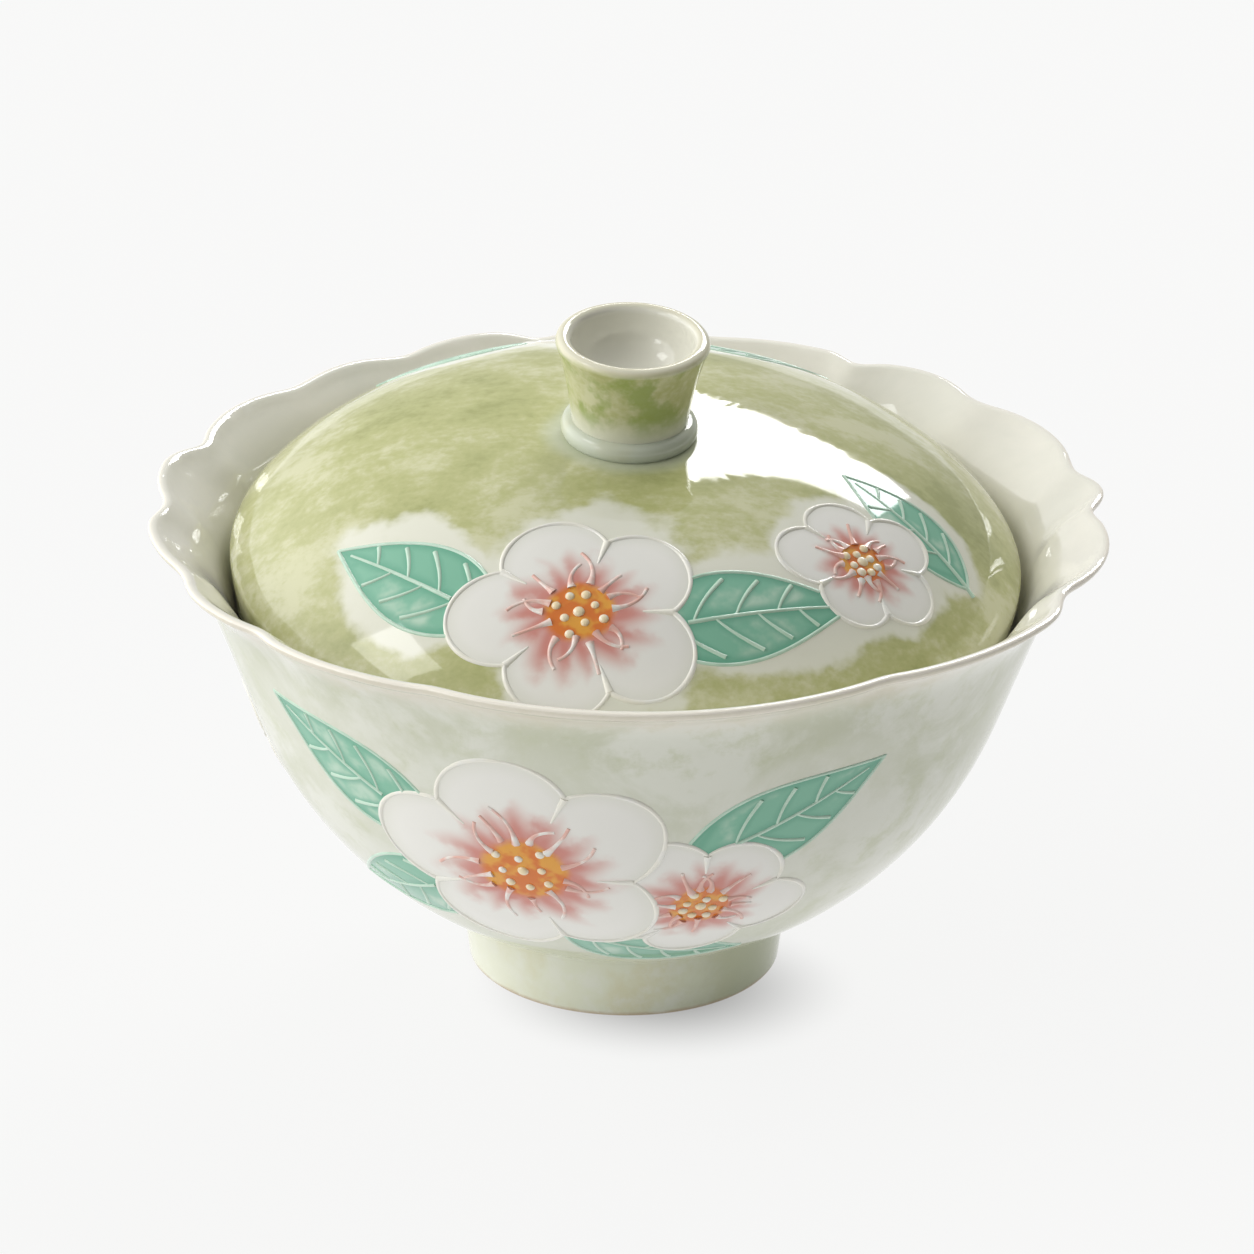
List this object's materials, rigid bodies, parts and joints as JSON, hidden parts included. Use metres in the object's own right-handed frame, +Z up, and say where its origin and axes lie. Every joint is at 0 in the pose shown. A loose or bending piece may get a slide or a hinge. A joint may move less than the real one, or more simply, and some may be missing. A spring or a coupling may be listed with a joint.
{
  "type": "lidded rice bowl",
  "caption": "Porcelain rice bowl with a flared, ruffled rim on a foot ring, and a loose domed lid with a cup-shaped knob that rests inside the rim.",
  "frame": {"origin": "centre of the foot ring's resting face, on the table", "axes": "+Z up through the knob, -Y towards the front of the bowl, +X to the right"},
  "size_m": [0.1243, 0.1241, 0.0894],
  "materials": {
    "bowl_glaze": "clear gloss glaze over pale celadon",
    "foot_glaze": "gloss glaze, bare at the resting edge",
    "lid_glaze": "clear gloss glaze over brushed sage green",
    "knob_glaze": "gloss green glaze with a cream lip and a pale hollow",
    "raised_slip": "raised white slip under clear gloss glaze"
  },
  "bodies": {
    "bowl": {"bowl_wall": "bowl_glaze", "foot_ring": "foot_glaze"},
    "lid": {"lid_dome": "lid_glaze", "lid_knob": "knob_glaze", "knob_bead": "raised_slip"}
  },
  "joints": [
    {"name": "lid_lift", "type": "slide", "parent": "bowl", "child": "lid", "axis": [0, 0, 1], "range_m": [0, 0.06]}
  ]
}
